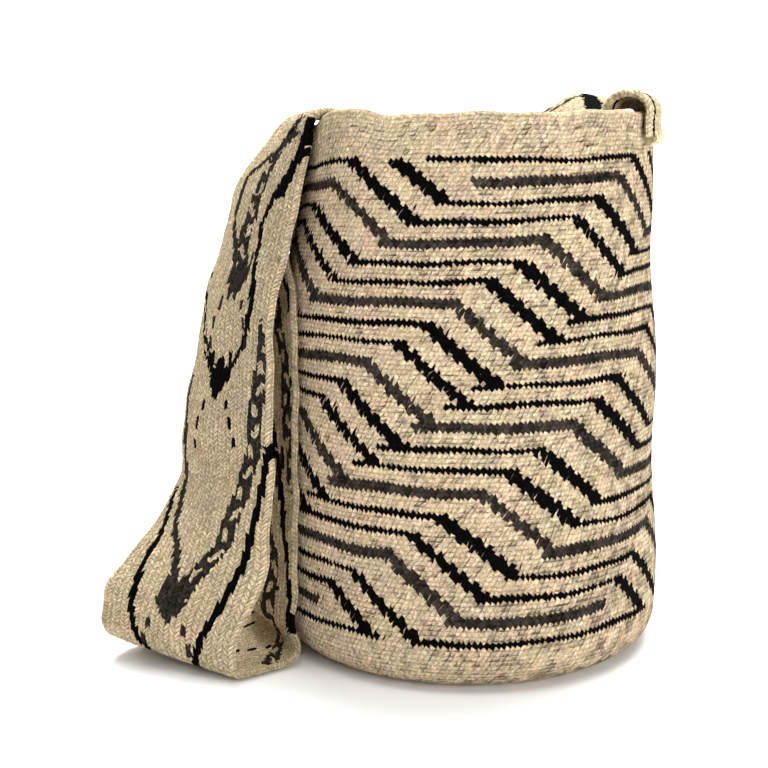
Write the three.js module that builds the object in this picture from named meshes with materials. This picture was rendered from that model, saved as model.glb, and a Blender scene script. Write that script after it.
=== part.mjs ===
import * as THREE from "three";

// Shoulder bag of crocheted wool: a round-based tube with an open mouth, and one wide woven strap sewn
// to the outside of the rim on two sides. From its left end the strap folds down the bag's left side,
// turns back at the floor, climbs over the rim, crosses the mouth and arches over the right rim.
// Millimetres, +Z up, front towards -Y, origin at the middle of the base.

const degrees = THREE.MathUtils.degToRad;

// Driving dimensions of the bag
const baseRadius = 103;
const rimRadius = 97;
const bagHeight = 280;
const wallThickness = 4;
const baseEdgeRadius = 18;

// How the empty mouth has settled under the strap: angles run from the front towards +X
const mouthDraw = 18;
const mouthDip = 10;
const mouthDepth = 110;
const mouthFoldAngle = degrees(-95);
const mouthFoldSpan = degrees(70);

// Driving dimensions of the strap and of the yarn that sews it on
const strapWidth = 82;
const strapThickness = 4;
const leftEndAngle = degrees(-104);
const leftEndBelowRim = 30;
const rightEndAngle = degrees(87);
const rightEndBelowRim = 13;
const yarnRadius = 0.8;
const stitchReach = 3;
const stitchPitch = 6;
const clearance = 0.35;

// Fineness of the faceted solids
const roundSegments = 48;
const mouthRows = 10;
const edgeSegments = 4;
const strapColumns = 11;
const strapStepsPerStation = 3;
const yarnSides = 6;
const yarnStepsPerStitch = 8;

const bagWool = new THREE.MeshStandardMaterial({ color: 0xc9b594, roughness: 0.95, metalness: 0 });
const strapWool = new THREE.MeshStandardMaterial({ color: 0xbfa987, roughness: 0.95, metalness: 0 });
const leftYarnWool = new THREE.MeshStandardMaterial({ color: 0xd2c2a4, roughness: 0.95, metalness: 0 });
const rightYarnWool = leftYarnWool.clone();

// Moves a point of the straight bag to where it lies on the settled one
function settle(point) {
  const rise = THREE.MathUtils.smoothstep(point.z, bagHeight - mouthDepth, bagHeight);
  const turn = Math.atan2(point.x, -point.y) - mouthFoldAngle;
  const offset = Math.abs(Math.atan2(Math.sin(turn), Math.cos(turn)));
  const reach = Math.min(offset / mouthFoldSpan, 1);
  const weight = rise * Math.cos((reach * Math.PI) / 2) ** 2;
  const drawn = 1 - (weight * mouthDraw) / rimRadius;
  point.set(point.x * drawn, point.y * drawn, point.z - weight * mouthDip);
  return point;
}

// Outer radius of the straight bag at a height: the wall tapers to the rim and turns in at the base
function outerRadius(z) {
  if (z >= baseEdgeRadius) {
    return THREE.MathUtils.mapLinear(z, baseEdgeRadius, bagHeight, baseRadius, rimRadius);
  }
  const drop = baseEdgeRadius - Math.max(z, 0);
  return baseRadius - baseEdgeRadius + Math.sqrt(baseEdgeRadius ** 2 - drop ** 2);
}

function wallPoint(angle, z) {
  const radius = outerRadius(z);
  return settle(new THREE.Vector3(radius * Math.sin(angle), -radius * Math.cos(angle), z));
}

// A point standing off the wall by a distance, measured level and square to the wall
function offWall(angle, z, distance) {
  const step = 0.01;
  const along = wallPoint(angle + step, z).sub(wallPoint(angle - step, z));
  const outwards = new THREE.Vector3(along.y, -along.x, 0).normalize();
  return wallPoint(angle, z).addScaledVector(outwards, distance);
}

function bodyGeometry() {
  const edgeCentre = new THREE.Vector2(baseRadius - baseEdgeRadius, baseEdgeRadius);
  const lip = wallThickness / 2;
  const lipCentre = new THREE.Vector2(rimRadius - lip, bagHeight - lip);
  const profile = [new THREE.Vector2(0, 0)];
  const arc = (centre, radius, from, to) => {
    for (let i = 0; i <= edgeSegments; i += 1) {
      const turn = THREE.MathUtils.lerp(from, to, i / edgeSegments);
      const spoke = new THREE.Vector2(Math.cos(turn), Math.sin(turn));
      profile.push(centre.clone().addScaledVector(spoke, radius));
    }
  };
  const rowHeights = Array.from({ length: mouthRows }, (_, i) => (
    THREE.MathUtils.lerp(bagHeight - mouthDepth, lipCentre.y, i / mouthRows)));
  const wall = (inset, heights) => {
    heights.forEach((height) => profile.push(new THREE.Vector2(outerRadius(height) - inset, height)));
  };
  arc(edgeCentre, baseEdgeRadius, -Math.PI / 2, 0);
  wall(0, rowHeights);
  arc(lipCentre, lip, 0, Math.PI);
  wall(wallThickness, rowHeights.reverse());
  arc(edgeCentre, baseEdgeRadius - wallThickness, 0, -Math.PI / 2);
  profile.push(new THREE.Vector2(0, wallThickness));

  const geometry = new THREE.LatheGeometry(profile, roundSegments);
  geometry.rotateX(Math.PI / 2);
  const position = geometry.attributes.position;
  const point = new THREE.Vector3();
  for (let i = 0; i < position.count; i += 1) {
    settle(point.fromBufferAttribute(position, i));
    position.setXYZ(i, point.x, point.y, point.z);
  }
  geometry.computeVertexNormals();
  return geometry;
}

// The strap's middle surface is given by stations, each a row of points from its front edge to its back
// edge. A station follows the wall, or hangs free as a slightly bowed line.
const columnShares = Array.from({ length: strapColumns }, (_, i) => i / (strapColumns - 1));

function onWall(middleAngle, z, distance, backLift = 0) {
  const middle = offWall(middleAngle, z, distance);
  const span = (Math.sign(middleAngle) * strapWidth) / Math.hypot(middle.x, middle.y);
  return columnShares.map((share) => (
    offWall(middleAngle + (share - 0.5) * span, z + share * backLift, distance)));
}

function free(front, turnDegrees, tiltDegrees, bow) {
  const turn = degrees(turnDegrees);
  const tilt = degrees(tiltDegrees);
  const level = new THREE.Vector3(-Math.sin(turn), Math.cos(turn), 0);
  const across = level.multiplyScalar(Math.cos(tilt)).add(new THREE.Vector3(0, 0, Math.sin(tilt)));
  const outwards = new THREE.Vector3(-Math.cos(turn), -Math.sin(turn), 0);
  return columnShares.map((share) => {
    const point = front.clone().addScaledVector(across, share * strapWidth);
    return point.addScaledVector(outwards, 4 * bow * share * (1 - share));
  });
}

// Seats shared by the strap and its yarn
const seat = strapThickness / 2 + clearance;
const yarnOnWall = yarnRadius + clearance;
const yarnOnStrap = seat + strapThickness / 2 + yarnOnWall;

// Left end, sewn on and folded outwards just below the rim
const foldRadius = strapThickness * 0.85;
const foldBelowRim = 7;
const foldOut = seat + 2 * foldRadius;
const leftFold = [
  onWall(leftEndAngle, bagHeight - leftEndBelowRim, seat),
  onWall(leftEndAngle, bagHeight - leftEndBelowRim / 2, seat),
  onWall(leftEndAngle, bagHeight - foldBelowRim, seat + clearance),
  onWall(leftEndAngle, bagHeight - foldBelowRim + foldRadius, seat + foldRadius),
  onWall(leftEndAngle, bagHeight - foldBelowRim, foldOut),
  onWall(leftEndAngle, bagHeight - 18, foldOut + 0.4),
  onWall(leftEndAngle + degrees(3), bagHeight - 36, foldOut),
];

// Inner leg, hanging down the wall and drifting forwards to the floor
const innerLegAngle = degrees(-76);
const innerLegOut = seat + 2.4;
const innerLeg = [
  onWall(innerLegAngle - degrees(12), bagHeight - 60, innerLegOut + 2),
  onWall(innerLegAngle - degrees(1), bagHeight - 98, innerLegOut),
  onWall(innerLegAngle, bagHeight - 150, innerLegOut),
  onWall(innerLegAngle, 80, innerLegOut),
  onWall(innerLegAngle, 40, innerLegOut + 0.4),
  onWall(innerLegAngle, 21, innerLegOut + 1.6),
];

// Turn on the floor, from the wall out to the outer leg
const outerLegAngle = degrees(-52);
const onFloor = (distance, lift) => {
  const spoke = new THREE.Vector3(Math.sin(outerLegAngle), -Math.cos(outerLegAngle), 0);
  return spoke.multiplyScalar(baseRadius + distance).setZ(seat + lift);
};
const floorTurn = [
  free(onFloor(6, 5.5), 17, 2, 6),
  free(onFloor(11, 0.8), 25, 0.5, 4),
  free(onFloor(22, 0), 37, 0, 2),
  free(onFloor(34, 0), 52, 1, 1),
  free(onFloor(41.5, 1.2), 62, 5, 1),
  free(onFloor(43.5, 7), 67, 7, 1),
];

// Outer leg, leaning away from the wall, from the floor up to the rim
const outerLeg = [
  free(offWall(outerLegAngle, 23, 42.5), 67, 4, 2),
  free(offWall(outerLegAngle, 38, 37.5), 70, 1, 3),
  free(offWall(outerLegAngle, 57, 30), 68, -5, 4),
  free(offWall(outerLegAngle, 79, 26.5), 54, -9, 5),
  free(offWall(outerLegAngle, 104, 23), 44, -11, 5),
  free(offWall(outerLegAngle, 130, 23), 42, -9, 6),
  free(offWall(outerLegAngle, bagHeight - 118, 21), 37, -7, 6),
  free(offWall(outerLegAngle, bagHeight - 92, 19.5), 34.5, -5.5, 6),
  free(offWall(outerLegAngle, bagHeight - 62, 13.5), 32, -4, 6),
  free(offWall(outerLegAngle, bagHeight - 30, 10.5), 28, -2, 5),
  free(offWall(outerLegAngle, bagHeight - 11, 8.5), 19, -1, 4),
];

// Over the left rim and across the mouth to the foot of the right arch
const acrossMouth = [
  free(offWall(degrees(-50.5), bagHeight + 1.2, 4.6), 15, -1.2, 2),
  free(offWall(degrees(-49), bagHeight + 4.5, -1.5), 12, -1.6, 1),
  free(offWall(degrees(-45), bagHeight - 0.5, -17), 10.5, -1.2, 0),
  free(offWall(degrees(-31), bagHeight - 13, -39), 8.5, 0, 0),
  free(new THREE.Vector3(5, -45, bagHeight - 18), 3.5, 1, 0),
  free(offWall(degrees(43), bagHeight - 17, -40), 1.5, 9, 0),
  free(offWall(degrees(56), bagHeight - 10, -24), 0, 13, 0),
];

// Arch over the right rim, and the right end sewn on
const rightArch = [
  onWall(rightEndAngle, bagHeight - 1, -17.5, 11),
  onWall(rightEndAngle, bagHeight + 6, -14, 4),
  onWall(rightEndAngle, bagHeight + 8.8, -7.5),
  onWall(rightEndAngle, bagHeight + 7, -0.5),
  onWall(rightEndAngle, bagHeight + 2, seat + 0.4),
  onWall(rightEndAngle, bagHeight - 5, seat),
  onWall(rightEndAngle, bagHeight - rightEndBelowRim, seat),
];

// Closed band of the strap's thickness, skinned over the stations
function bandGeometry(stations) {
  const steps = (stations.length - 1) * strapStepsPerStation;
  const curves = columnShares.map((_, column) => {
    const points = stations.map((row) => row[column]);
    return new THREE.CatmullRomCurve3(points, false, "centripetal");
  });
  const grid = [];
  for (let step = 0; step <= steps; step += 1) {
    grid.push(curves.map((curve) => curve.getPoint(step / steps)));
  }
  const last = strapColumns - 1;
  const normalAt = (step, column) => {
    const along = grid[Math.min(step + 1, steps)][column].clone();
    along.sub(grid[Math.max(step - 1, 0)][column]);
    const across = grid[step][Math.min(column + 1, last)].clone();
    across.sub(grid[step][Math.max(column - 1, 0)]);
    return along.cross(across).normalize();
  };
  const vertices = [];
  for (const side of [1, -1]) {
    grid.forEach((row, step) => row.forEach((point, column) => {
      const moved = point.clone().addScaledVector(normalAt(step, column), (side * strapThickness) / 2);
      vertices.push(moved.x, moved.y, moved.z);
    }));
  }
  const faceCount = (steps + 1) * strapColumns;
  const top = (step, column) => step * strapColumns + column;
  const under = (step, column) => faceCount + top(step, column);
  const indices = [];
  const quad = (a, b, c, d) => indices.push(a, b, c, a, c, d);
  for (let step = 0; step < steps; step += 1) {
    for (let column = 0; column < last; column += 1) {
      const beside = column + 1;
      quad(top(step, column), top(step + 1, column), top(step + 1, beside), top(step, beside));
      quad(under(step, column), under(step, beside), under(step + 1, beside), under(step + 1, column));
    }
    quad(top(step, 0), under(step, 0), under(step + 1, 0), top(step + 1, 0));
    quad(top(step, last), top(step + 1, last), under(step + 1, last), under(step, last));
  }
  for (let column = 0; column < last; column += 1) {
    quad(top(0, column), top(0, column + 1), under(0, column + 1), under(0, column));
    quad(top(steps, column), under(steps, column), under(steps, column + 1), top(steps, column + 1));
  }
  const geometry = new THREE.BufferGeometry();
  geometry.setAttribute("position", new THREE.Float32BufferAttribute(vertices, 3));
  geometry.setIndex(indices);
  geometry.computeVertexNormals();
  return geometry;
}

// Row of whip stitches along a sewn end: each stitch steps down over the strap's end to the wall and back
function seamGeometry(middleAngle, endBelowRim) {
  const endHeight = bagHeight - endBelowRim;
  const middle = offWall(middleAngle, endHeight, seat);
  const span = strapWidth / Math.hypot(middle.x, middle.y);
  const stitches = Math.floor((strapWidth - stitchPitch) / stitchPitch);
  const pitch = (span * stitchPitch) / strapWidth;
  const first = middleAngle - (stitches * pitch) / 2;
  const underEnd = endHeight - yarnOnWall;
  const points = [];
  for (let i = 0; i <= stitches; i += 1) {
    const angle = first + i * pitch;
    points.push(offWall(angle, endHeight + stitchReach, yarnOnStrap));
    if (i === stitches) break;
    points.push(offWall(angle + pitch * 0.3, underEnd, yarnOnStrap));
    points.push(offWall(angle + pitch * 0.5, underEnd - stitchReach, yarnOnWall));
    points.push(offWall(angle + pitch * 0.7, underEnd, yarnOnStrap));
  }
  const section = new THREE.Shape();
  for (let i = 0; i < yarnSides; i += 1) {
    const turn = (2 * Math.PI * i) / yarnSides;
    const corner = [yarnRadius * Math.cos(turn), yarnRadius * Math.sin(turn)];
    if (i === 0) section.moveTo(...corner);
    else section.lineTo(...corner);
  }
  section.closePath();
  const path = new THREE.CatmullRomCurve3(points, false, "centripetal");
  const settings = { steps: stitches * yarnStepsPerStitch, bevelEnabled: false, extrudePath: path };
  return new THREE.ExtrudeGeometry(section, settings);
}

function named(name, geometry, material) {
  const mesh = new THREE.Mesh(geometry, material);
  mesh.name = name;
  return mesh;
}

const bag = new THREE.Group();
bag.name = "arhuaca_mochila_bag";
const strapStations = [...leftFold, ...innerLeg, ...floorTurn, ...outerLeg, ...acrossMouth, ...rightArch];
bag.add(named("bag_body", bodyGeometry(), bagWool));
bag.add(named("strap", bandGeometry(strapStations), strapWool));
bag.add(named("left_seam_yarn", seamGeometry(leftEndAngle, leftEndBelowRim), leftYarnWool));
bag.add(named("right_seam_yarn", seamGeometry(rightEndAngle, rightEndBelowRim), rightYarnWool));

export default bag;
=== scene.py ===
import math

import bpy
import numpy as np
from mathutils import Matrix, Vector


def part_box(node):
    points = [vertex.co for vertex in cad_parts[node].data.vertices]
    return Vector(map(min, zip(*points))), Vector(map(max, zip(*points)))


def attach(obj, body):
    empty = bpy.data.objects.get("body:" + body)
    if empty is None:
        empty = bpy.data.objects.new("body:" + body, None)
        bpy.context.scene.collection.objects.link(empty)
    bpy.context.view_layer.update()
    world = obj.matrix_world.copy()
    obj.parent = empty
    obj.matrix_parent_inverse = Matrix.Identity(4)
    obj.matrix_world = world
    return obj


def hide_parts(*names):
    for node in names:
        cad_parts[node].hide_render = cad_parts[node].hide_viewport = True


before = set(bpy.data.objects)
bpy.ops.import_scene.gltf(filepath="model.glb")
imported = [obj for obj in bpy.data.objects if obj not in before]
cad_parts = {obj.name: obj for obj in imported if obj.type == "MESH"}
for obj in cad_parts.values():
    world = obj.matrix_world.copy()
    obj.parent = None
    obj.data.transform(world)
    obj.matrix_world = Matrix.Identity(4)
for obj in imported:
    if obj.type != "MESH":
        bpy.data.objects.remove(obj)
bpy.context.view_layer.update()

# Bag body. Base, wall and rim are one piece of tight wool crochet, worked stitch by stitch in a spiral
# from the middle of the base up to the rim. The black and grey yarns are carried along inside the cream
# stitches and come out where the pattern needs them.
MM = 0.001
bag_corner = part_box("bag_body")[1]
base_radius = bag_corner.x / MM
bag_height = bag_corner.z / MM
rim_radius = 97.0
wall_thickness = 4.0
base_edge_radius = 18.0
mouth_draw = 18.0
mouth_dip = 10.0
mouth_depth = 110.0
mouth_fold_angle = math.radians(-95)
mouth_fold_span = math.radians(70)

# The crochet: stitches in a round, and rows that grow a little taller towards the base
stitches_round = 232
rows_in_repeat = 13
first_grey_height = 249.0
repeat_height = 27.6
repeat_growth = 0.37
rim_row = -14
last_wall_row = 98
base_row_height = 2.5
tooth_height = 0.76
tooth_share = 0.68
lean_per_row = -0.5
stitch_wander = 0.17
row_wander = 0.08
leg_relief = 0.2
yarn_swell = (-0.04, 0.22)  # rows a coloured stitch swells into the cream, least and most

CREAM, GREY, BLACK = 0, 1, 2
bag_yarns = ("C8B394", "352F2A", "060505")
yarn_unevenness = (0.12, 0.38, 0.2)
tone_limits = (0.5, 1.7)


def linear(hex_colour):
    """An sRGB hex colour as linear red, green and blue."""
    channels = np.array([int(hex_colour[i:i + 2], 16) / 255 for i in (0, 2, 4)])
    return np.where(channels <= 0.04045, channels / 12.92, ((channels + 0.055) / 1.055) ** 2.4)


def smoothstep(value, start, end):
    share = np.clip((value - start) / (end - start), 0, 1)
    return share * share * (3 - 2 * share)


def settled(x, y, z):
    """Where a point of the straight bag lies once the empty mouth has sunk under the strap."""
    turn = np.arctan2(x, -y) - mouth_fold_angle
    offset = np.abs(np.arctan2(np.sin(turn), np.cos(turn)))
    reach = np.minimum(offset / mouth_fold_span, 1)
    weight = smoothstep(z, bag_height - mouth_depth, bag_height) * np.cos(reach * math.pi / 2) ** 2
    drawn = 1 - weight * mouth_draw / rim_radius
    return np.stack([x * drawn, y * drawn, z - weight * mouth_dip], -1)


def outer_radius(z):
    """Outer radius of the straight bag: the wall tapers to the rim and turns in at the base."""
    wall_share = (z - base_edge_radius) / (bag_height - base_edge_radius)
    wall = base_radius + (rim_radius - base_radius) * wall_share
    drop = base_edge_radius - np.clip(z, 0, base_edge_radius)
    edge = base_radius - base_edge_radius + np.sqrt(base_edge_radius ** 2 - drop ** 2)
    return np.where(z >= base_edge_radius, wall, edge)


def row_height(row):
    """Height of a row's upper edge, rows counted down from the middle of the first grey line."""
    repeat = np.asarray(row) / rows_in_repeat
    return first_grey_height - repeat_height * repeat - repeat_growth * repeat ** 2


# The soft wall bulges at the right and ripples all round, between the base's edge and the drawn-in mouth
bulge = 1.2
bulge_angle = math.radians(85)
bulge_height = 150
bulge_spacing = 108
slack_starts = (4, 30)
slack_ends = (205, 250)
wall_ripples = ((0.5, 3, 33), (0.35, 7, -21))  # size, waves in a round, height they lean over
# The rim puckers up beside the strap and waves a little all round
pucker_rise = 3.0
pucker_degrees = -39
pucker_half_span = 15
rim_start = 245
rim_waves = ((0.5, 9, 1), (0.35, 22, 0))  # size, waves in a round, start
row_waves = ((0.25, 5, 0.21), (0.15, 13, -0.13))  # size in rows, waves in a round, shift from row to row


def slack(angle, z):
    """How far the soft wall stands out of its true round, in millimetres."""
    right = np.clip(np.cos(angle - bulge_angle), 0, 1) ** 2
    ripple = bulge * right * np.cos(2 * math.pi * (z - bulge_height) / bulge_spacing)
    for size, waves, lean in wall_ripples:
        ripple = ripple + size * np.sin(waves * angle + z / lean)
    return ripple * (smoothstep(z, *slack_starts) * (1 - smoothstep(z, *slack_ends)))


def rim_rise(angle, z):
    """How far the soft rim stands above or below its true height, in millimetres."""
    beside = ((np.degrees(angle) - pucker_degrees) + 180) % 360 - 180
    pucker = pucker_rise * np.clip(1 - (beside / pucker_half_span) ** 2, 0, 1)
    wave = sum(size * np.sin(waves * angle + start) for size, waves, start in rim_waves)
    return smoothstep(z, rim_start, bag_height) * (pucker + wave)


def row_sway(stitch, row):
    """How far a row wanders up and down round the bag, in rows."""
    angle = stitch * 2 * math.pi / stitches_round
    return sum(size * np.sin(waves * angle + shift * row) for size, waves, shift in row_waves)


# The pattern chart: each line runs level, steps down one stitch a row for a repeat and runs level again
figures_round = 4
repeat_stitches = stitches_round // figures_round
first_corner = 29.4
corner_step_back = 17.3
line_stitches = 3.3
run_stitches = repeat_stitches - corner_step_back - rows_in_repeat
upper_black_row = 4
lower_black_row = 8
pattern_lines = (  # yarn, first row in the repeat, rows of its level run
    (GREY, -1, 2),
    (BLACK, upper_black_row, 1),
    (BLACK, lower_black_row, 1),
)
# The figure at the front slips to the right as it steps down: repeats, and the stitches slipped by then
black_slips = ((-1, 0, 2, 4), (0.3, 1.5, 3.6, 4.0))
grey_slips = ((1, 3), (0.0, 2.3))
top_row = -5
bottom_row = 95
last_repeat = 7
top_run_extra = 13.5
bottom_run_extra = 21.0


def yarn_at(row, stitch):
    """The yarn that shows in each stitch of a row, with stitches counted from the front towards +X."""
    yarn = np.full(np.shape(stitch), CREAM)
    if row < top_row or row > bottom_row:
        return yarn
    for colour, first_row, thickness in pattern_lines:
        repeat, below = divmod(row - first_row, rows_in_repeat)
        if colour == GREY and repeat < 0:
            continue
        longer_before = row == top_row and first_row == lower_black_row
        longer_after = row == bottom_row and first_row == upper_black_row
        corner = first_corner - corner_step_back * (repeat + (first_row + 1) / rows_in_repeat)
        run_before = run_stitches + (top_run_extra if longer_before else 0)
        run_after = line_stitches + (bottom_run_extra if longer_after else 0)
        figure, from_corner = np.divmod(stitch - corner + run_before, repeat_stitches)
        front_slip = np.interp(repeat, *(black_slips if colour == BLACK else grey_slips))
        from_corner = from_corner - run_before - np.where(figure % figures_round == 0, front_slip, 0.0)
        shown = (from_corner + line_stitches - below) % repeat_stitches
        diagonal = (shown >= line_stitches) & (shown < 2 * line_stitches)
        if colour == GREY and repeat == last_repeat:
            diagonal = np.zeros_like(diagonal)
        run = (from_corner < run_after) & (below < thickness)
        yarn = np.where(diagonal | run, colour, yarn)
    return yarn


bag_random = np.random.default_rng(11)
crossed_starts = 0.4  # share of the coloured stretches that start with a leg of cream
crossed_ends = 0.55  # share that run on by a leg
bag_rings = []
bag_levels = []
bag_bands = []


def leg_yarns(row, stitch):
    """The yarn of both legs of each stitch. Where a coloured stretch starts and ends, the yarns may cross."""
    legs = np.repeat(yarn_at(row, stitch), 2)
    shown = legs.copy()
    starts = np.flatnonzero((legs != CREAM) & (np.roll(legs, 1) == CREAM))
    ends = np.flatnonzero((legs != CREAM) & (np.roll(legs, -1) == CREAM))
    shown[(starts + 1)[bag_random.random(len(starts)) < crossed_starts]] = CREAM
    crossed = ends[bag_random.random(len(ends)) < crossed_ends]
    beyond = (crossed + 2) % len(legs)
    shown[beyond] = np.where(legs[beyond] == CREAM, legs[crossed], legs[beyond])
    return shown


def add_ring(stitch, radius, height, band=None, level=None):
    """Adds a ring of points to the bag's skin, and the band of stitches that joins it to the last ring.
    The level says in which row each point lies, where the rows end in teeth."""
    angle = np.asarray(stitch) * 2 * math.pi / stitches_round
    height = np.broadcast_to(height, angle.shape)
    height = height + rim_rise(angle, height)
    radius = np.broadcast_to(radius, angle.shape) + slack(angle, height)
    bag_rings.append(settled(radius * np.sin(angle), -radius * np.cos(angle), height))
    bag_levels.append(level)
    if band is not None:
        bag_bands.append(band)


def even_places(columns, shift=0.0):
    """Places spaced evenly round the bag, counted in stitches."""
    return np.arange(columns) * stitches_round / columns + shift


def plain(columns, legs, top=1.0, bottom=0.0):
    """A band of cream stitches: yarns, legs in each column, and the share of the row at its two rings."""
    return np.full(columns, CREAM), legs, top, bottom


base_columns = stitches_round // 2
base_legs = 2 * stitches_round // base_columns
inner_edge_radius = base_edge_radius - wall_thickness
flat_radius = base_radius - base_edge_radius

# Inside, from the middle of the base out and up to the rim
inside_rounds = 16
first_round_share = 0.01
for i in range(inside_rounds + 1):
    share = max(i / inside_rounds, first_round_share)
    add_ring(even_places(base_columns), flat_radius * share, wall_thickness,
             None if i == 0 else plain(base_columns, base_legs * share))
inside_edge_steps = 5
for i in range(1, inside_edge_steps + 1):
    turn = math.pi / 2 * i / inside_edge_steps
    add_ring(even_places(base_columns), flat_radius + inner_edge_radius * math.sin(turn),
             base_edge_radius - inner_edge_radius * math.cos(turn), plain(base_columns, base_legs))
for row in range(last_wall_row, rim_row - 1, -1):
    z = row_height(row)
    stitch = even_places(stitches_round, lean_per_row * row)
    if row == last_wall_row:
        band = plain(base_columns, base_legs)
    else:
        band = (yarn_at(row, stitch + 0.5 + lean_per_row / 2), 2, 1.0, 0.0)
    add_ring(stitch, outer_radius(z) - wall_thickness, z, band)

# Rim, rolled over from the inside to the outside
lip = wall_thickness / 2
lip_steps = 4
legs_round = 2 * stitches_round


def leg_places(row):
    """Where the two legs of each stitch start along a row's upper edge."""
    starts = np.arange(stitches_round) + lean_per_row * row
    return np.stack([starts, starts + tooth_share], -1).ravel()


lip_height = row_height(rim_row)
lip_centre = outer_radius(lip_height) - lip
for i in range(1, lip_steps):
    turn = math.pi * i / lip_steps
    columns = stitches_round if i == 1 else legs_round
    add_ring(leg_places(rim_row), lip_centre - lip * math.cos(turn),
             lip_height + lip * math.sin(turn), plain(columns, legs_round / columns))

# Outside, down the wall and round the edge of the base: the two legs of a stitch point down between the
# stitches of the next row, so each row ends in a line of teeth
tooth = np.tile([-0.5, 0.5], stitches_round) * tooth_height
edge_start = rows_in_repeat * (
    math.sqrt(repeat_height ** 2 + 4 * repeat_growth * (first_grey_height - base_edge_radius))
    - repeat_height) / (2 * repeat_growth)
edge_rows = int(base_edge_radius * math.pi / 2 / base_row_height)
last_edge_row = int(edge_start) + edge_rows
end_evenness = 0.3  # share of the teeth and wander left in the first and the last row
swell_along = 0.17
swell_between_rows = 1.9


def skin(row):
    """Radius and height of the outside at a row, down the wall and round the base's edge."""
    past = np.maximum(row - edge_start, 0) * base_row_height
    turn = np.minimum(past / base_edge_radius, math.pi / 2)
    on_edge = np.asarray(row) > edge_start
    height = np.where(on_edge, base_edge_radius * (1 - np.sin(turn)), row_height(row))
    around = base_radius - base_edge_radius * (1 - np.cos(turn))
    return np.where(on_edge, around, outer_radius(height)), height


least, most = yarn_swell
for row in range(rim_row, last_edge_row + 1):
    evenness = end_evenness if row in (rim_row, last_edge_row) else 1.0
    places = leg_places(row) + bag_random.normal(0, stitch_wander, legs_round)
    wander = bag_random.normal(0, row_wander, legs_round) + row_sway(places, row)
    above = yarn_at(row - 1, places) != CREAM
    below = yarn_at(row, places) != CREAM
    swell_wave = np.sin(swell_along * places + swell_between_rows * (row // 2))
    swell = least + (most - least) * (0.5 + 0.5 * swell_wave)
    wander = wander + swell * (above & ~below) - swell * (below & ~above)
    level = row + (tooth + wander) * evenness
    radius, height = skin(level)
    if row == rim_row:
        band = plain(legs_round, 1)
    else:
        middles = np.arange(stitches_round) + 0.5 + lean_per_row * (row - 0.5)
        band = (leg_yarns(row - 1, middles), 1, 1.0, 0.0)
    add_ring(places, radius + leg_relief * np.sign(tooth), height, band, level)

# Underside of the base, rounds of stitches in to the middle
rounds = int(flat_radius / base_row_height)
groove_depth = 0.4
last_round_radius = 0.6
for i in range(2 * rounds):
    share = 1 - (i + 1) / (2 * rounds)
    radius = max(flat_radius * share, last_round_radius)
    legs = max(round(stitches_round * share * 2 / base_columns), 1)
    top, bottom = (1.0, 0.5) if i % 2 == 0 else (0.5, 0.0)
    add_ring(even_places(base_columns), radius, groove_depth * (i % 2),
             plain(base_columns, legs, top, bottom))

skin_points = np.concatenate(bag_rings)
ring_starts = np.cumsum([0] + [len(ring) for ring in bag_rings])
last_ring = range(len(skin_points) - base_columns, len(skin_points))
faces = [tuple(range(base_columns)), tuple(reversed(last_ring))]
face_yarn = [CREAM, CREAM]
corner_uv = [np.zeros((base_columns, 2)), np.zeros((base_columns, 2))]
for place, (yarns, legs, top, bottom) in enumerate(bag_bands):
    upper, lower = len(bag_rings[place]), len(bag_rings[place + 1])
    columns = min(upper, lower)
    upper_steps, lower_steps = upper // columns, lower // columns
    for j in range(columns):
        along_lower = [(j * lower_steps + i) % lower for i in range(lower_steps + 1)]
        along_upper = [(j * upper_steps + i) % upper for i in range(upper_steps, -1, -1)]
        faces.append(tuple([ring_starts[place + 1] + i for i in along_lower]
                           + [ring_starts[place] + i for i in along_upper]))
        if bag_levels[place] is None or bag_levels[place + 1] is None:
            lower_levels = [bottom] * len(along_lower)
            upper_levels = [top] * len(along_upper)
        else:
            lower_levels = bag_levels[place + 1][along_lower]
            upper_levels = bag_levels[place][along_upper]
        lower_uv = [((j + i / lower_steps) * legs, lower_levels[i]) for i in range(lower_steps + 1)]
        upper_uv = [((j + 1 - i / upper_steps) * legs, upper_levels[i]) for i in range(upper_steps + 1)]
        corner_uv.append(np.array(lower_uv + upper_uv))
    face_yarn.extend(yarns)


def cloth_piece(name, points, faces, colours, coordinates):
    """A mesh object from points in millimetres, with a yarn colour for each face and a place among the
    strands for each corner."""
    mesh = bpy.data.meshes.new(name)
    mesh.from_pydata(np.asarray(points) * MM, [], faces)
    sizes = [len(face) for face in faces]
    corner_colours = np.repeat(np.c_[colours, np.ones(len(colours))], sizes, axis=0)
    mesh.attributes.new("yarn", "FLOAT_COLOR", "CORNER").data.foreach_set("color", corner_colours.ravel())
    mesh.uv_layers.new(name="strands").data.foreach_set("uv", np.concatenate(coordinates).ravel())
    mesh.validate()
    piece = bpy.data.objects.new(name, mesh)
    bpy.context.scene.collection.objects.link(piece)
    bpy.ops.object.select_all(action="DESELECT")
    piece.select_set(True)
    bpy.context.view_layer.objects.active = piece
    bpy.ops.object.shade_smooth()
    return piece


def dyed(yarns, palette, random):
    """A colour for each stitch: its yarn's, a little darker or lighter from stitch to stitch."""
    unevenness = np.array(yarn_unevenness)[yarns]
    tones = np.clip(1 + unevenness * random.normal(0, 1, np.shape(yarns)), *tone_limits)
    return np.array([linear(colour) for colour in palette])[yarns] * tones[..., None]


bag_colours = dyed(np.array(face_yarn), bag_yarns, bag_random)
crocheted_bag = cloth_piece("crocheted_bag", skin_points, faces, bag_colours, corner_uv)


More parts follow.
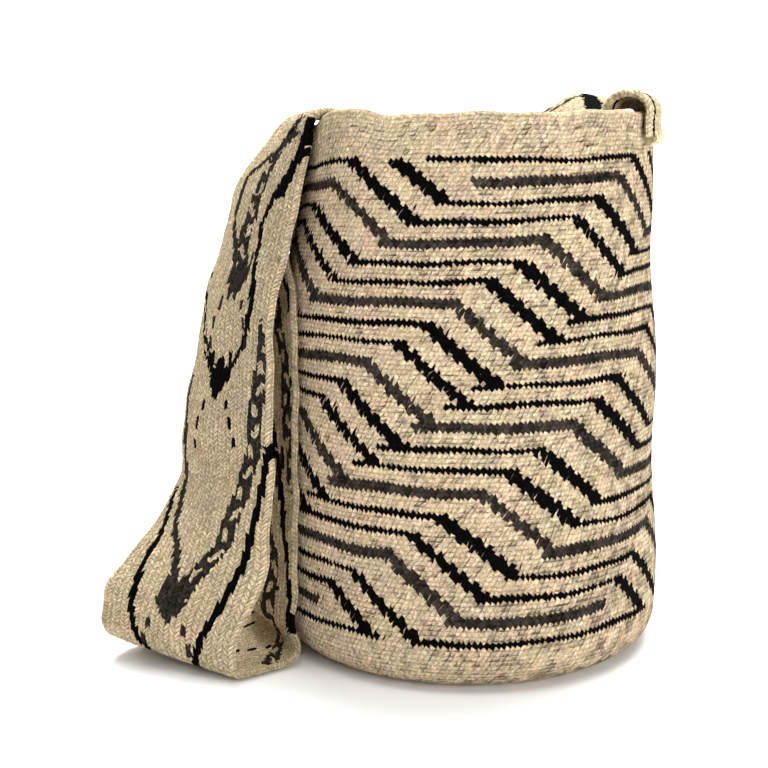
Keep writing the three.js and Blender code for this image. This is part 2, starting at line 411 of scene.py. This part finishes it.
def node(tree, kind, links=None, **settings):
    """Adds a node with its settings; links gives each input a value or the output that feeds it."""
    made = tree.nodes.new(kind)
    for name, value in settings.items():
        setattr(made, name, value)
    for name, source in (links or {}).items():
        if isinstance(source, bpy.types.NodeSocket):
            tree.links.new(source, made.inputs[name])
        else:
            made.inputs[name].default_value = source
    return made


def spun_wool(name, strand_depth, gap_shade):
    """Hand-spun sheep's wool, worked into cloth: matt round strands, with painted shade in the gaps between
    them and a painted highlight on their crowns, a little uneven in colour from fleece to fleece and fuzzy
    with loose fibres."""
    # Single fibres, about 0.03 mm thick, are too fine to show, so they are drawn as clumps 0.5 mm wide
    patches = ((0.5, 0.7, 1.3), (1.3, 0.64, 1.36), (14.0, 0.9, 1.1))  # size in mm, darkest, lightest
    patch_detail = 2.0
    noise_low, noise_high = 0.25, 0.75
    fleece_size = 16.0
    fleece_detail = 3.0
    fleece_span, fleece_least = (0.2, 0.17, 0.22), (0.9, 0.915, 0.89)
    across_roundness, along_roundness = 0.35, 0.5
    crown_shade = 1.08
    smoothest, roughest = 0.88, 1.0
    fuzz_share = 0.5
    gloss = 0.04
    material = bpy.data.materials.new(name)
    material.use_nodes = True
    tree = material.node_tree
    shader = tree.nodes["Principled BSDF"]
    place = node(tree, "ShaderNodeTexCoord")
    yarn = node(tree, "ShaderNodeAttribute", attribute_name="yarn")
    strands = node(tree, "ShaderNodeSeparateXYZ",
                   {0: node(tree, "ShaderNodeUVMap", uv_map="strands").outputs[0]})
    across = node(tree, "ShaderNodeMath", {0: strands.outputs[0]}, operation="FRACT")
    along = node(tree, "ShaderNodeMath", {0: strands.outputs[1]}, operation="FRACT")
    rounds = []
    for share, roundness in ((across, across_roundness), (along, along_roundness)):
        half_turn = node(tree, "ShaderNodeMath", {0: share.outputs[0], 1: math.pi}, operation="MULTIPLY")
        arch = node(tree, "ShaderNodeMath", {0: half_turn.outputs[0]}, operation="SINE")
        rounds.append(node(tree, "ShaderNodeMath", {0: arch.outputs[0], 1: roundness}, operation="POWER"))
    strand = node(tree, "ShaderNodeMath", {0: rounds[0].outputs[0], 1: rounds[1].outputs[0]},
                  operation="MULTIPLY")
    # Painted shade and light: the colour darkens to gap_shade in the gaps between the round strands and
    # brightens to crown_shade on their crowns, then random patches darken or lighten it
    shade_and_tone = node(tree, "ShaderNodeMapRange",
                {"Value": strand.outputs[0], "To Min": gap_shade, "To Max": crown_shade})
    fibres = None
    for size, darkest, lightest in patches:
        noise = node(tree, "ShaderNodeTexNoise",
                     {"Vector": place.outputs["Object"], "Scale": 1 / (size * MM), "Detail": patch_detail})
        patch = node(tree, "ShaderNodeMapRange",
                     {"Value": noise.outputs[0], "From Min": noise_low, "From Max": noise_high,
                      "To Min": darkest, "To Max": lightest})
        shade_and_tone = node(tree, "ShaderNodeMath", {0: shade_and_tone.outputs[0], 1: patch.outputs[0]},
                    operation="MULTIPLY")
        fibres = fibres or noise
    fleece = node(tree, "ShaderNodeTexNoise",
                  {"Vector": place.outputs["Object"], "Scale": 1 / (fleece_size * MM),
                   "Detail": fleece_detail})
    tint = node(tree, "ShaderNodeVectorMath",
                {0: fleece.outputs["Color"], 1: fleece_span, 2: fleece_least},
                operation="MULTIPLY_ADD")
    tinted = node(tree, "ShaderNodeVectorMath", {0: yarn.outputs["Color"], 1: tint.outputs[0]},
                  operation="MULTIPLY")
    colour = node(tree, "ShaderNodeVectorMath", {0: tinted.outputs[0], "Scale": shade_and_tone.outputs[0]},
                  operation="SCALE")
    roughness = node(tree, "ShaderNodeMapRange",
                     {"Value": fibres.outputs[0], "To Min": smoothest, "To Max": roughest})
    fuzz = node(tree, "ShaderNodeMath", {0: fibres.outputs[0], 1: fuzz_share, 2: strand.outputs[0]},
                operation="MULTIPLY_ADD")
    bump = node(tree, "ShaderNodeBump",
                {"Height": fuzz.outputs[0], "Distance": strand_depth * MM, "Strength": 1.0})
    tree.links.new(colour.outputs[0], shader.inputs["Base Color"])
    tree.links.new(roughness.outputs[0], shader.inputs["Roughness"])
    tree.links.new(bump.outputs[0], shader.inputs["Normal"])
    shader.inputs["Specular IOR Level"].default_value = gloss
    return material


bag_strand_depth = 0.45
bag_gap_shade = 0.72
crocheted_bag.data.materials.append(spun_wool("crocheted_sheep_wool", bag_strand_depth, bag_gap_shade))
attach(crocheted_bag, "root")
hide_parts("bag_body")

# Strap. One wide band of twined wool cords, woven flat and apart from the bag, with black and grey lines
# that meet in pointed figures. It is sewn to the left rim, hangs in a loop to the floor, comes back over
# the rim, crosses the mouth and arches over the right rim to its other sewn end.
strap_width = 82.0
strap_thickness = 4.0
left_end_angle = math.radians(-104)
left_end_below_rim = 30.0
right_end_angle = math.radians(87)
right_end_below_rim = 13.0
clearance = 0.35
cords = 26
strap_row = 2.2
cord_slant = 2.8
edge_round = 0.8
cord_groove = 0.5
row_groove = 0.35
weave_wander = 0.38
thickness_wander = weave_wander / 3
strap_shares = np.linspace(0, 1, 2 * cords + 1)
stand_off_shares = (0.1, 0.6)


def wall_point(angle, z):
    """A point on the outside of the bag's wall, before it slackens."""
    radius = outer_radius(z)
    return settled(radius * np.sin(angle), -radius * np.cos(angle), z)


def off_wall(angle, z, distance):
    """A point standing off the wall by a distance, measured level and square to the wall."""
    angle, z = np.broadcast_arrays(np.asarray(angle, float), np.asarray(z, float))
    step = 0.01
    along = wall_point(angle + step, z) - wall_point(angle - step, z)
    outwards = np.stack([along[..., 1], -along[..., 0], np.zeros(angle.shape)], -1)
    outwards = outwards / np.linalg.norm(outwards, axis=-1, keepdims=True)
    return wall_point(angle, z) + outwards * np.asarray(distance)[..., None]


def on_wall(middle_angle, z, distance, back_lift=0.0, stand_off=0.0):
    """A row of strap points along the wall, from the front edge to the back edge, which may stand off."""
    middle = off_wall(middle_angle, z, distance)
    span = math.copysign(strap_width, middle_angle) / math.hypot(middle[0], middle[1])
    return off_wall(middle_angle + (strap_shares - 0.5) * span, z + strap_shares * back_lift,
                    distance + stand_off * smoothstep(strap_shares, *stand_off_shares))


def hanging(front, turn_degrees, tilt_degrees, bow, spread=0.0, press=0.0):
    """A row of strap points that hangs free as a slightly bowed line, its front edge spread or pressed
    in."""
    turn, tilt = math.radians(turn_degrees), math.radians(tilt_degrees)
    level = math.cos(tilt)
    across = np.array([-math.sin(turn) * level, math.cos(turn) * level, math.sin(tilt)])
    outwards = np.array([-math.cos(turn), -math.sin(turn), 0])
    at_front = (1 - strap_shares) ** 2
    bowed = 4 * bow * strap_shares * (1 - strap_shares) - press * at_front
    sideways = strap_shares * strap_width - spread * at_front
    return front + np.outer(sideways, across) + np.outer(bowed, outwards)


seat = strap_thickness / 2 + clearance
fold_tightness = 0.85
fold_radius = strap_thickness * fold_tightness
fold_below_rim = 7.0
fold_out = seat + 2 * fold_radius
inner_leg_angle = math.radians(-76)
inner_leg_gap = 2.4
inner_leg_out = seat + inner_leg_gap
outer_leg_angle = math.radians(-52)
strap_stations = []
left_end = (  # turn in degrees, height, distance from the wall
    (0, bag_height - left_end_below_rim, seat),
    (0, bag_height - left_end_below_rim / 2, seat),
    (0, bag_height - fold_below_rim, seat + clearance),
    (0, bag_height - fold_below_rim + fold_radius, seat + fold_radius),
    (0, bag_height - fold_below_rim, fold_out),
    (0, bag_height - 18, fold_out + 0.4),
    (3, bag_height - 36, fold_out),
)
for turn, height, distance in left_end:
    strap_stations.append(on_wall(left_end_angle + math.radians(turn), height, distance))
inner_leg = (  # turn in degrees, height, distance from the wall, how far the back edge stands off
    (-12, bag_height - 60, inner_leg_out + 2, 3),
    (-1, bag_height - 98, inner_leg_out, 5),
    (0, bag_height - 150, inner_leg_out, 6),
    (0, 80, inner_leg_out, 8),
    (0, 40, inner_leg_out + 0.4, 10),
    (0, 21, inner_leg_out + 1.6, 12),
)
for turn, height, distance, stand_off in inner_leg:
    leg_angle = inner_leg_angle + math.radians(turn)
    strap_stations.append(on_wall(leg_angle, height, distance, stand_off=stand_off))
floor_turn = (  # distance from the base, lift, turn, tilt, bow
    (6, 5.5, 17, 2, 6),
    (11, 0.8, 25, 0.5, 4),
    (22, 0, 37, 0, 2),
    (34, 0, 52, 1, 1),
    (41.5, 1.2, 62, 5, 1),
    (43.5, 7, 67, 7, 1),
)
for distance, lift, turn, tilt, bow in floor_turn:
    reach = base_radius + distance
    x, y = math.sin(outer_leg_angle) * reach, -math.cos(outer_leg_angle) * reach
    strap_stations.append(hanging(np.array([x, y, seat + lift]), turn, tilt, bow))
outer_leg = (  # height, distance from the wall, turn, tilt, bow, spread and press of the front edge
    (23, 42.5, 67, 4, 2, 0, 0),
    (38, 37.5, 70, 1, 3, 3.5, 0),
    (57, 30, 68, -5, 4, 5.5, 0),
    (79, 26.5, 54, -9, 5, 4, 0),
    (104, 23, 44, -11, 5, 4, 0),
    (130, 23, 42, -9, 6, 3, 0),
    (bag_height - 118, 21, 37, -7, 6, 1.5, 0),
    (bag_height - 92, 19.5, 34.5, -5.5, 6, 0, 0),
    (bag_height - 62, 13.5, 32, -4, 6, 0, 1.5),
    (bag_height - 30, 10.5, 28, -2, 5, 0, 3.5),
    (bag_height - 11, 8.5, 19, -1, 4, 0, 5),
)
for height, distance, turn, tilt, bow, spread, press in outer_leg:
    front = off_wall(outer_leg_angle, height, distance)
    strap_stations.append(hanging(front, turn, tilt, bow, spread, press))
over_left_rim = (  # angle, height above the rim, distance from the wall, turn, tilt, bow, press
    (-50.5, 1.2, 4.6, 15, -1.2, 2, 2),
    (-49, 4.5, -1.5, 12, -1.6, 1, 2),
    (-45, -0.5, -17, 10.5, -1.2, 0, 0),
    (-31, -13, -39, 8.5, 0, 0, 0),
)
mouth_front = np.array([5, -45, bag_height - 18])
mouth_middle = hanging(mouth_front, turn_degrees=3.5, tilt_degrees=1, bow=0)
to_right_rim = (  # as over the left rim
    (43, -17, -40, 1.5, 9, 0, 0),
    (56, -10, -24, 0, 13, 0, 0),
)
for stretch, after in ((over_left_rim, [mouth_middle]), (to_right_rim, [])):
    for angle, rise, distance, turn, tilt, bow, press in stretch:
        front = off_wall(math.radians(angle), bag_height + rise, distance)
        strap_stations.append(hanging(front, turn, tilt, bow, press=press))
    strap_stations.extend(after)
right_arch = (  # height above the rim, distance from the wall, lift of the back edge
    (-1, -17.5, 8),
    (6, -14, 0),
    (8.8, -7.5, -6.2),
    (7, -0.5, -4.2),
    (2, seat + 0.4, -2),
    (-5, seat, 0),
    (-right_end_below_rim, seat, 0),
)
for rise, distance, back_lift in right_arch:
    strap_stations.append(on_wall(right_end_angle, bag_height + rise, distance, back_lift))


def smooth_path(stations, steps):
    """Centripetal curves through the stations, one for each point of a row."""
    stations = np.asarray(stations)
    first, last = 2 * stations[0] - stations[1], 2 * stations[-1] - stations[-2]
    padded = np.concatenate([first[None], stations, last[None]])
    gaps = np.sqrt(np.linalg.norm(np.diff(padded, axis=0), axis=-1, keepdims=True))
    pieces = []
    for i in range(len(stations) - 1):
        p0, p1, p2, p3 = padded[i:i + 4]
        g0, g1, g2 = gaps[i:i + 3]
        leave = ((p1 - p0) / g0 - (p2 - p0) / (g0 + g1) + (p2 - p1) / g1) * g1
        arrive = ((p2 - p1) / g1 - (p3 - p1) / (g1 + g2) + (p3 - p2) / g2) * g1
        for share in np.arange(steps) / steps:
            pieces.append(p1 + leave * share + (3 * (p2 - p1) - 2 * leave - arrive) * share ** 2
                          + (2 * (p1 - p2) + leave + arrive) * share ** 3)
    return np.array(pieces + [stations[-1]])


station_steps = 24
strap_surface = smooth_path(strap_stations, station_steps)
middle_line = strap_surface[:, cords]
strap_reach = np.concatenate([[0], np.cumsum(np.linalg.norm(np.diff(middle_line, axis=0), axis=1))])
strap_length = strap_reach[-1]
strap_rows = int((strap_length - cord_slant) / strap_row)

# Slanted rows of twined stitches: neighbouring cords slant opposite ways, so each pair makes Vs
cord_places = strap_shares * cords
zigzag = cord_slant * np.abs(cord_places % 2 - 1)
strap_random = np.random.default_rng(5)
ring_reach = np.linspace(0, strap_length - cord_slant, 2 * strap_rows + 1)[:, None] + zigzag[None]
ring_reach = np.clip(ring_reach + strap_random.normal(0, weave_wander, ring_reach.shape), 0, strap_length)
ring_reach[0] = 0
ring_reach[-1] = strap_length
steps = np.interp(ring_reach, strap_reach, np.arange(len(strap_reach)))
before = np.minimum(steps.astype(int), len(strap_reach) - 2)
part = (steps - before)[..., None]
column = np.arange(2 * cords + 1)[None]
middle_points = strap_surface[before, column] * (1 - part) + strap_surface[before + 1, column] * part
along = strap_surface[before + 1, column] - strap_surface[before, column]
across = np.gradient(strap_surface, axis=1)[before, column]
normals = np.cross(along, across)
normals = normals / np.linalg.norm(normals, axis=-1, keepdims=True)
# A long soft fold runs down the outer leg, between the black line and the middle
fold_depth = 2.5
fold_middle = 0.4
fold_width = 0.13
fold_starts = (470, 545)
fold_ends = (610, 655)
fold_share = np.exp(-((strap_shares[None] - fold_middle) / fold_width) ** 2)
fold_reach = smoothstep(ring_reach, *fold_starts) * (1 - smoothstep(ring_reach, *fold_ends))
middle_points = middle_points - normals * (fold_depth * fold_share * fold_reach)[..., None]
# The hand-woven band is not quite flat where it hangs free of the floor and the rim
lump_waves = ((0.45, 8.5, 9), (0.35, 4.3, -13))  # size, length along the strap, slant across it
lump_heights = (6, 20)
lump_starts = (70, 110)
lump_ends = (600, 640)
lumps = sum(size * np.sin(ring_reach / length + slant * strap_shares) for size, length, slant in lump_waves)
lumps = lumps * smoothstep(middle_points[..., 2], *lump_heights)
lumps = lumps * smoothstep(ring_reach, *lump_starts) * (1 - smoothstep(ring_reach, *lump_ends))
middle_points = middle_points + normals * lumps[..., None]
cord_low = (column % 2 == 0) * cord_groove
row_low = (np.arange(len(ring_reach))[:, None] % 2 == 0) * row_groove
edge_low = edge_round * (np.minimum(column, 2 * cords - column) == 0)
uneven = strap_random.normal(0, thickness_wander, ring_reach.shape)
crown = strap_thickness / 2
half_thickness = np.minimum(crown, crown - cord_low - row_low - edge_low + uneven)
sideways = across / np.linalg.norm(across, axis=-1, keepdims=True)
front_edge = middle_points[:, :1] - sideways[:, :1] * edge_round
back_edge = middle_points[:, -1:] + sideways[:, -1:] * edge_round
upper = middle_points + normals * half_thickness[..., None]
under = middle_points - normals * half_thickness[..., None]
loops = np.concatenate([front_edge, upper, back_edge, under[:, ::-1]], axis=1)
loop_size = loops.shape[1]

# Where the coloured cords lie: each figure is a pointed node from which two lines part towards the edges.
# A line is a row of turns, each a reach past the node and a share of the width.
node_length = 13.0
node_half_width = 3.0
edge_node_share = 0.3
edge_node_narrowing = 0.4
node_raggedness = {GREY: 0.12, BLACK: 0.03}
fan_dashes = ((-37, -31, 5.3), (-27, -20, 4.3), (-17, -11, 3.3), (2, 14, 2.3))  # start, end, cords away
dash_half_width = 0.5
widest_step = 0.6
# A line wider than a cord on each side is worked as a chain, parted along its middle by cream
chain_from = 1
chain_pitch = 11
chain_gap = 6.5
chain_half_gap = 0.6
chain_sway = 0.6
black_front = ((6, 0.42), (13, 0.34), (23, 0.29), (43, 0.2), (63, 0.16), (83, 0.1), (103, 0.05),
               (113, 0.0))
black_back = ((6, 0.58), (20, 0.64), (26, 0.7), (43, 0.76), (63, 0.8), (83, 0.82), (93, 0.86),
              (113, 0.97))
grey_front = ((6, 0.46), (20, 0.37), (30, 0.29), (50, 0.24), (70, 0.18), (84, 0.12), (105, 0.11),
              (120, 0.07), (150, 0.02))
grey_back = ((6, 0.52), (15, 0.56), (30, 0.63), (40, 0.72), (50, 0.78), (58, 0.84), (80, 0.9),
             (120, 0.96))
# The figures that show most in the hanging strap, with the lines as the weaver laid them there
inner_black_front = ((6, 0.24), (20, 0.2), (35, 0.16), (50, 0.12), (65, 0.09), (80, 0.06), (95, 0.03),
                     (100, 0.0))
hanging_black_front = ((6, 0.42), (13, 0.34), (23, 0.29), (43, 0.2), (63, 0.16), (83, 0.11),
                       (103, 0.08), (122, 0.05), (135, 0.01))
inner_black_back = ((6, 0.33), (16, 0.45), (40, 0.6), (70, 0.75), (110, 0.95))
inner_grey_front = ((-4, 0.39), (15, 0.3), (35, 0.26), (55, 0.29), (71, 0.26), (95, 0.06), (104, 0.0))
outer_black_front = ((5, 0.42), (9, 0.36), (17, 0.28), (27, 0.22), (37, 0.205), (47, 0.22), (57, 0.26),
                     (67, 0.3), (80, 0.35), (84, 0.3), (92, 0.24), (102, 0.17), (112, 0.08), (122, 0.0))
outer_black_back = ((5, 0.6), (12, 0.7), (20, 0.78), (28, 0.86), (40, 0.93), (60, 1.0))
outer_grey_front = ((8, 0.48), (20, 0.5), (31, 0.49), (42, 0.46), (50, 0.44), (63, 0.38), (75, 0.3),
                    (90, 0.2))
outer_grey_back = ((8, 0.54), (18, 0.61), (30, 0.7), (44, 0.73), (53, 0.71), (62, 0.52), (71, 0.32),
                   (80, 0.15))
figures = (  # yarn, node's reach and share, front line, back line, half widths of the lines in cords
    (BLACK, 20, 0.5, black_front, black_back, 0.55, 0.55),
    (GREY, 72, 0.5, grey_front, grey_back, 1.55, 0.6),
    (BLACK, 197, 0.27, inner_black_front, inner_black_back, 0.8, 0.6),
    (GREY, 241, 0.4, inner_grey_front, grey_back, 1.55, 0.6),
    (BLACK, 357, 0.5, hanging_black_front, black_back, 0.62, 0.62),
    (GREY, 409, 0.49, grey_front, grey_back, 1.55, 0.7),
    (BLACK, 528, 0.52, outer_black_front, outer_black_back, 0.75, 1.1),
    (GREY, 580, 0.46, outer_grey_front, outer_grey_back, 1.4, 0.9),
    (BLACK, 695, 0.5, black_front, black_back, 0.55, 0.55),
    (GREY, 748, 0.5, grey_front, grey_back, 1.55, 0.6),
)
strap_yarns = ("CBB896", "332E29", "060505")
# Each cord shows in two halves and each row in two steps, so that a line can run between the cords
half_cords = 2 * cords
half_rows = 2 * strap_rows
reach = (np.arange(half_rows) + 0.5)[:, None] * (strap_length - cord_slant) / half_rows
reach = reach + (zigzag[1:] + zigzag[:-1]) / 2
cord = (np.arange(half_cords)[None] + 0.5) / 2
strap_yarn = np.full((half_rows, half_cords), CREAM)
for yarn, node_reach, node_share, front_line, back_line, front_width, back_width in figures:
    past = reach - node_reach
    for line, half_width in ((front_line, front_width), (back_line, back_width)):
        turns = np.array(line)
        middle = np.interp(past, turns[:, 0], turns[:, 1], left=-1, right=-1) * cords
        steepness = np.abs(np.gradient(middle, axis=0)) / 2
        off_line = np.abs(cord - middle)
        on_line = off_line < half_width + np.minimum(steepness, widest_step)
        sway = chain_sway * np.sin(2 * math.pi * past / (2 * chain_pitch))
        in_gap = (np.abs(cord - middle + sway) < chain_half_gap) & (past % chain_pitch < chain_gap)
        parted = in_gap & (half_width > chain_from)
        strap_yarn[on_line & ~parted] = yarn
    beside = np.abs(cord - node_share * cords)
    ragged = 1 + strap_random.normal(0, node_raggedness[yarn], beside.shape[1])
    half_width = node_half_width * (edge_node_narrowing if node_share < edge_node_share else 1)
    in_node = beside / half_width + np.abs(past) / node_length < ragged
    for start, end, away in fan_dashes:
        in_node = in_node | (past > start) & (past < end) & (np.abs(beside - away) < dash_half_width)
    strap_yarn[in_node] = yarn
# The black line widens where it leaves the front edge at the left rim
rim_line_reach = (622, 640, 652, 668)
rim_line_share = (0.17, 0.09, 0.05, 0.03)
rim_line_half_width = 1.15
on_rim = (reach > rim_line_reach[0]) & (reach < rim_line_reach[-1])
rim_line = np.interp(reach, rim_line_reach, rim_line_share) * cords
strap_yarn[on_rim & (np.abs(cord - rim_line) < rim_line_half_width)] = BLACK
# The right arch is cream: a wide black band crosses the ramp up to it, a thin line follows its front edge
arch_start = 832
band_reach = 828
band_slant = 4
band_half_width = 4.5
arch_line_start = 842
arch_line_cords = (1.5, 2.5)
strap_yarn[reach > arch_start] = CREAM
strap_yarn[np.abs(reach - band_reach - band_slant * cord / cords) < band_half_width] = BLACK
on_arch_line = (cord > arch_line_cords[0]) & (cord < arch_line_cords[1])
strap_yarn[(reach > arch_line_start) & on_arch_line] = BLACK
# The outermost cords stay cream where the strap hangs, but for two places where a line meets the front edge
hanging_end = 625
edge_meetings = ((262, 37), (470, 30))  # reach, half length
at_meeting = np.any([np.abs(reach - middle) < half for middle, half in edge_meetings], axis=0)
meets_edge = (cord < 1) & at_meeting
at_edge = (np.abs(cord - cords / 2) > cords / 2 - 1) & ~meets_edge
strap_yarn[(reach < hanging_end) & at_edge] = CREAM

stitch_colour = dyed(strap_yarn, strap_yarns, strap_random)
loop_cords = np.concatenate([[0], np.arange(half_cords), [half_cords - 1, half_cords - 1],
                             np.arange(half_cords)[::-1], [0]])
points = loops.reshape(-1, 3)
faces = []
colours = []
coordinates = []
for ring in range(len(loops) - 1):
    start = ring * loop_size
    low_v, high_v = (0.0, 0.5) if ring % 2 == 0 else (0.5, 1.0)
    for i in range(loop_size):
        beside = (i + 1) % loop_size
        faces.append((start + i, start + loop_size + i, start + loop_size + beside, start + beside))
        side = 0.0 if i % 2 == 1 else 0.5
        coordinates.append(((side, low_v), (side, high_v), (side + 0.5, high_v), (side + 0.5, low_v)))
    colours.append(stitch_colour[ring, loop_cords])
colours = np.concatenate(colours)
end_caps = [tuple(range(loop_size)), tuple(reversed(range(len(points) - loop_size, len(points))))]
faces.extend(end_caps)
colours = np.concatenate([colours, np.tile(linear(strap_yarns[CREAM]), (2, 1))])
coordinates = [np.array(coordinates).reshape(-1, 2), np.full((2 * loop_size, 2), 0.5)]
woven_strap = cloth_piece("woven_strap", points, faces, colours, coordinates)
strap_strand_depth = 0.8
strap_gap_shade = 0.5
woven_strap.data.materials.append(spun_wool("twined_sheep_wool", strap_strand_depth, strap_gap_shade))
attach(woven_strap, "root")
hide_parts("strap")

# Seam yarns. Two-ply wool yarn that sews each end of the strap to the outside of the rim with a row of
# whip stitches, each one stepping down over the strap's end into the wall and back.
yarn_radius = 0.8
stitch_reach = 3.0
stitch_pitch = 6.0
ply_radius = 0.5
ply_turn = 4.0
ply_sides = 7
yarn_on_wall = yarn_radius + clearance
yarn_on_strap = seat + strap_thickness / 2 + yarn_on_wall
stitch_turns = (  # share of the pitch, drop below the strap's end, distance from the wall
    (0.3, 0, yarn_on_strap),
    (0.5, stitch_reach, yarn_on_wall),
    (0.7, 0, yarn_on_strap),
)
seam_steps = 6
seam_colour = "D2C2A4"
seam_strand_depth = 0.2
seam_gap_shade = 0.7


def twisted_yarn(name, route):
    """Two plies wound round each other along a route."""
    along = np.gradient(route, axis=0)
    along = along / np.linalg.norm(along, axis=1, keepdims=True)
    side = np.cross(along, [0, 0, 1.0])
    side = side / np.linalg.norm(side, axis=1, keepdims=True)
    rise = np.cross(side, along)
    reach = np.concatenate([[0], np.cumsum(np.linalg.norm(np.diff(route, axis=0), axis=1))])
    points, faces = [], []
    for ply in range(2):
        twist = 2 * math.pi * reach / ply_turn + math.pi * ply
        offset = yarn_radius - ply_radius
        middle = route + offset * (np.cos(twist)[:, None] * side + np.sin(twist)[:, None] * rise)
        start = len(points) * ply_sides
        for i in range(len(route)):
            turn = 2 * math.pi * np.arange(ply_sides) / ply_sides
            ring = np.outer(np.cos(turn), side[i]) + np.outer(np.sin(turn), rise[i])
            points.append(middle[i] + ply_radius * ring)
        for i in range(len(route) - 1):
            for j in range(ply_sides):
                k = (j + 1) % ply_sides
                here, there = start + i * ply_sides, start + (i + 1) * ply_sides
                faces.append((here + j, here + k, there + k, there + j))
        last = start + (len(route) - 1) * ply_sides
        faces.append(tuple(range(start + ply_sides - 1, start - 1, -1)))
        faces.append(tuple(range(last, last + ply_sides)))
    corners = [np.full((len(face), 2), 0.5) for face in faces]
    colours = np.tile(linear(seam_colour), (len(faces), 1))
    return cloth_piece(name, np.concatenate(points), faces, colours, corners)


seam_wool = spun_wool("plied_sheep_wool", seam_strand_depth, seam_gap_shade)
seams = (
    ("left_seam", "left_seam_yarn", "left_yarn_wool", left_end_angle, left_end_below_rim),
    ("right_seam", "right_seam_yarn", "right_yarn_wool", right_end_angle, right_end_below_rim),
)
for name, cad_node, slot, middle_angle, below_rim in seams:
    end_height = bag_height - below_rim
    middle = off_wall(middle_angle, end_height, seat)
    span = strap_width / math.hypot(middle[0], middle[1])
    count = int((strap_width - stitch_pitch) / stitch_pitch)
    pitch = span * stitch_pitch / strap_width
    under_end = end_height - yarn_on_wall
    route = []
    for i in range(count + 1):
        angle = middle_angle + (i - count / 2) * pitch
        route.append(off_wall(angle, end_height + stitch_reach, yarn_on_strap))
        if i < count:
            for share, drop, distance in stitch_turns:
                route.append(off_wall(angle + pitch * share, under_end - drop, distance))
    seam = twisted_yarn(name, smooth_path(np.array(route)[:, None], seam_steps)[:, 0])
    seam.data.materials.append(seam_wool)
    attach(seam, "root")
    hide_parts(cad_node)

# Floor and backdrop. One wide sheet of pale studio paper from a roll, with a smooth matt face. It lies flat
# under the bag and curves up behind it, with no line where the floor ends.
paper_width = 8.0
paper_front = -3.5
paper_bend = 1.8
bend_radius = 0.9
paper_height = 3.2
bend_steps = 16
turns = [math.pi / 2 * i / bend_steps for i in range(bend_steps + 1)]
paper_line = [(paper_front, 0.0)]
paper_line += [(paper_bend + bend_radius * math.sin(t), bend_radius * (1 - math.cos(t))) for t in turns]
paper_line.append((paper_bend + bend_radius, paper_height))
paper_points = [(x, y, z) for y, z in paper_line for x in (-paper_width / 2, paper_width / 2)]
paper_faces = [(2 * i, 2 * i + 1, 2 * i + 3, 2 * i + 2) for i in range(len(paper_line) - 1)]
paper_mesh = bpy.data.meshes.new("studio_floor")
paper_mesh.from_pydata(paper_points, [], paper_faces)
floor = bpy.data.objects.new("studio_floor", paper_mesh)
bpy.context.scene.collection.objects.link(floor)
bpy.ops.object.select_all(action="DESELECT")
floor.select_set(True)
bpy.context.view_layer.objects.active = floor
bpy.ops.object.shade_smooth()
paper = bpy.data.materials.new("pale_studio_paper")
paper.use_nodes = True
paper_shader = paper.node_tree.nodes["Principled BSDF"]
paper_colour = "FAFAFA"
paper_roughness = 0.9
paper_shader.inputs["Base Color"].default_value = (*linear(paper_colour), 1)
paper_shader.inputs["Roughness"].default_value = paper_roughness
floor.data.materials.append(paper)

# Light. A dim even room, a large soft lamp in front of the bag to the right, one above it and one that
# whitens the paper behind it.
room_strength = 0.33
room = bpy.data.worlds.new("studio_room")
room.use_nodes = True
room_light = room.node_tree.nodes["Background"]
room_light.inputs["Color"].default_value = (1, 1, 1, 1)
room_light.inputs["Strength"].default_value = room_strength
bpy.context.scene.world = room
lamps = (  # name, place, aim, size, power
    ("front_lamp", (1.1, -1.3, 0.6), (0, 0, 0.14), 1.2, 20),
    ("top_lamp", (0.1, 0.2, 1.9), (0, 0.2, 0), 1.8, 38),
    ("paper_lamp", (0, 1.2, 2.2), (0, 2.2, 0.3), 2.0, 150),
)
for name, place, aim, size, power in lamps:
    lamp = bpy.data.lights.new(name, "AREA")
    lamp.size = size
    lamp.energy = power
    holder = bpy.data.objects.new(name, lamp)
    holder.location = place
    holder.rotation_euler = (Vector(aim) - holder.location).to_track_quat("-Z", "Y").to_euler()
    bpy.context.scene.collection.objects.link(holder)
bpy.context.scene.view_settings.view_transform = "Standard"

# Camera. At the photograph's place: in front of the bag, level with its rim and looking a little down.
# Its turns and its focal length come from the bag's outline in the picture.
view_pixels = 768
focal_pixels = 1404.7
camera_place = (0, -0.7505, 0.278)
camera_turn = math.radians(3.37)
camera_down = math.radians(10.71)
camera_roll = math.radians(-0.77)
camera = bpy.data.cameras.new("camera")
camera.sensor_width = 36.0
camera.lens = focal_pixels / view_pixels * camera.sensor_width
viewer = bpy.data.objects.new("camera", camera)
viewer.location = camera_place
turned = Matrix.Rotation(camera_turn, 3, "Z") @ Matrix.Rotation(math.pi / 2 - camera_down, 3, "X")
viewer.rotation_euler = (turned @ Matrix.Rotation(camera_roll, 3, "Z")).to_euler()
bpy.context.scene.collection.objects.link(viewer)
bpy.context.scene.camera = viewer
